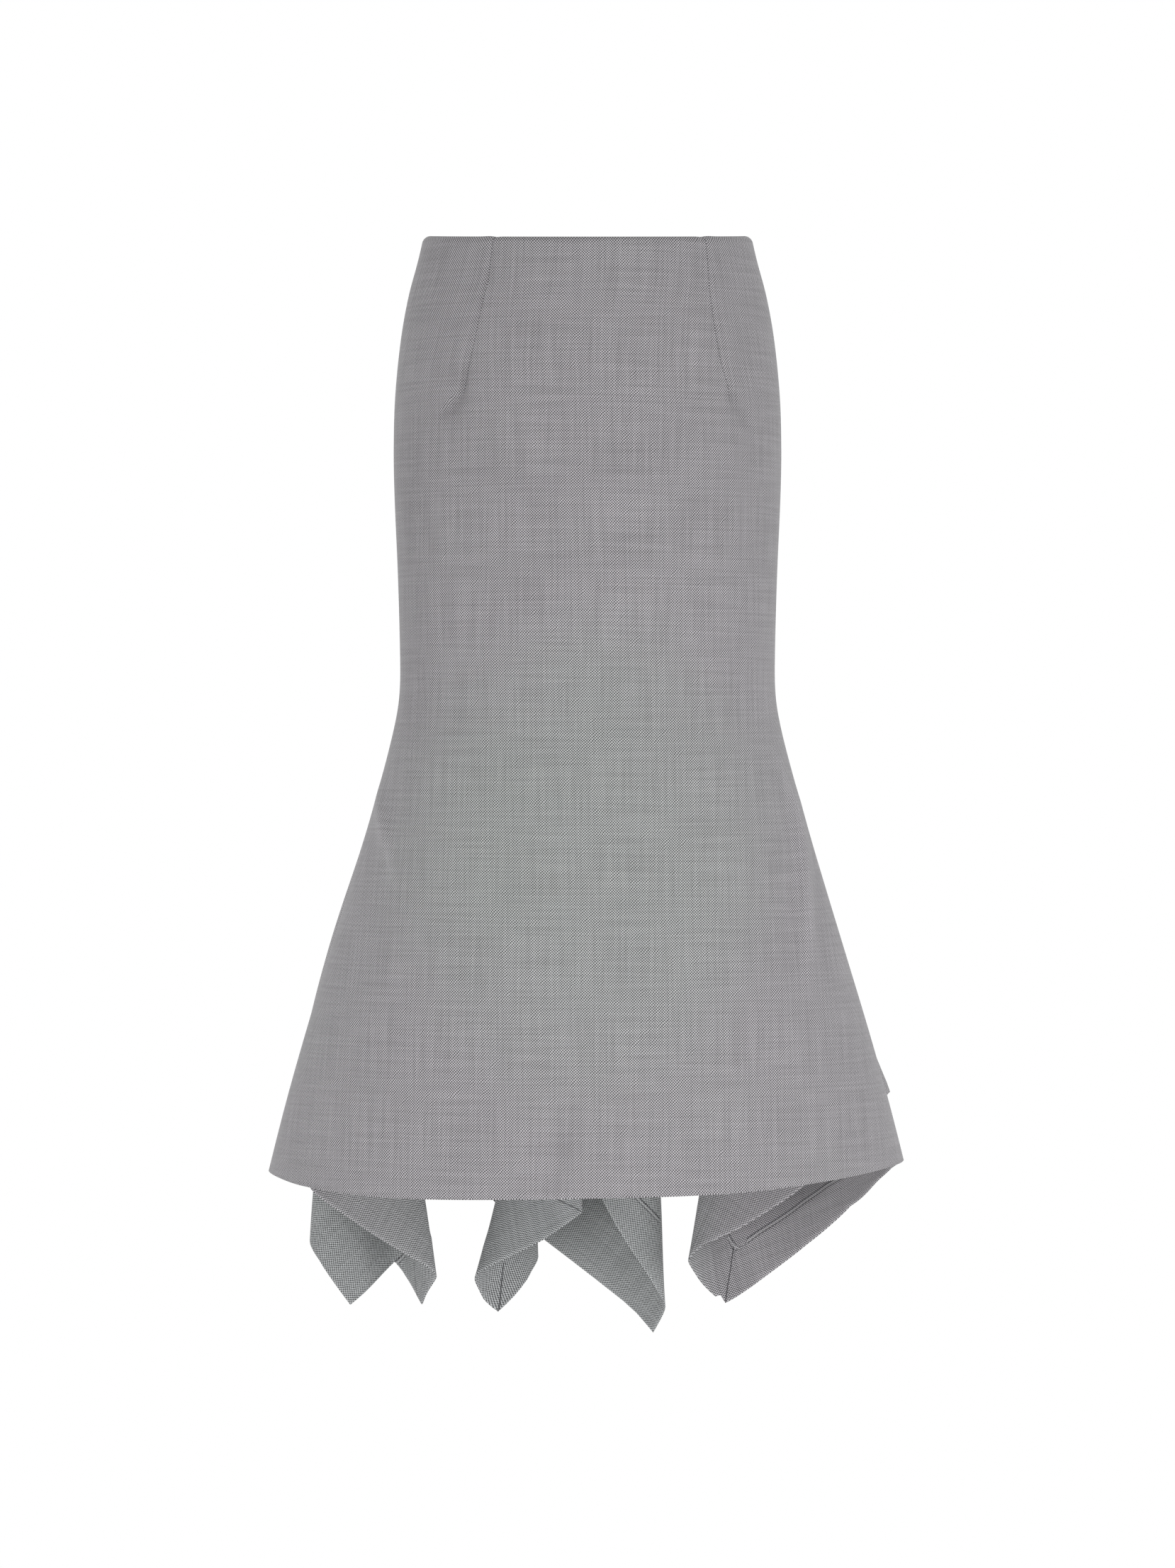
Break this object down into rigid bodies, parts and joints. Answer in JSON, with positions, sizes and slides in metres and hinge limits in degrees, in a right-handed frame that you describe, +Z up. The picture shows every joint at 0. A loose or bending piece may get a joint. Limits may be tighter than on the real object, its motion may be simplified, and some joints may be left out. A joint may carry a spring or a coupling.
{
  "type": "fishtail midi skirt",
  "caption": "Fitted fishtail midi skirt, hollow as worn, with a darted front, a lapped back vent and handkerchief points hanging below the front hem.",
  "frame": {"origin": "middle of the waist opening, level with the top of the side seams", "axes": "+Z up, front of the skirt towards -Y, +X to the viewer's right from the front"},
  "size_m": [0.5374, 0.3876, 0.9448],
  "materials": {
    "suiting": "pinhead wool suiting in black and off-white, matte",
    "zip_tape": "woven polyester tape",
    "zip_metal": "grey enamelled zinc"
  },
  "bodies": {
    "skirt": {"front_panel": "suiting", "back_left_panel": "suiting", "back_right_panel": "suiting", "zip_tape": "zip_tape", "zip_slider": "zip_metal"},
    "zip_tab": {"zip_pull": "zip_metal"}
  },
  "joints": [
    {"name": "tab_swing", "type": "hinge", "parent": "skirt", "child": "zip_tab", "pos_m": [0, 0.10392, -0.01087], "axis": [1, 0, 0], "range_deg": [0, 150]}
  ]
}
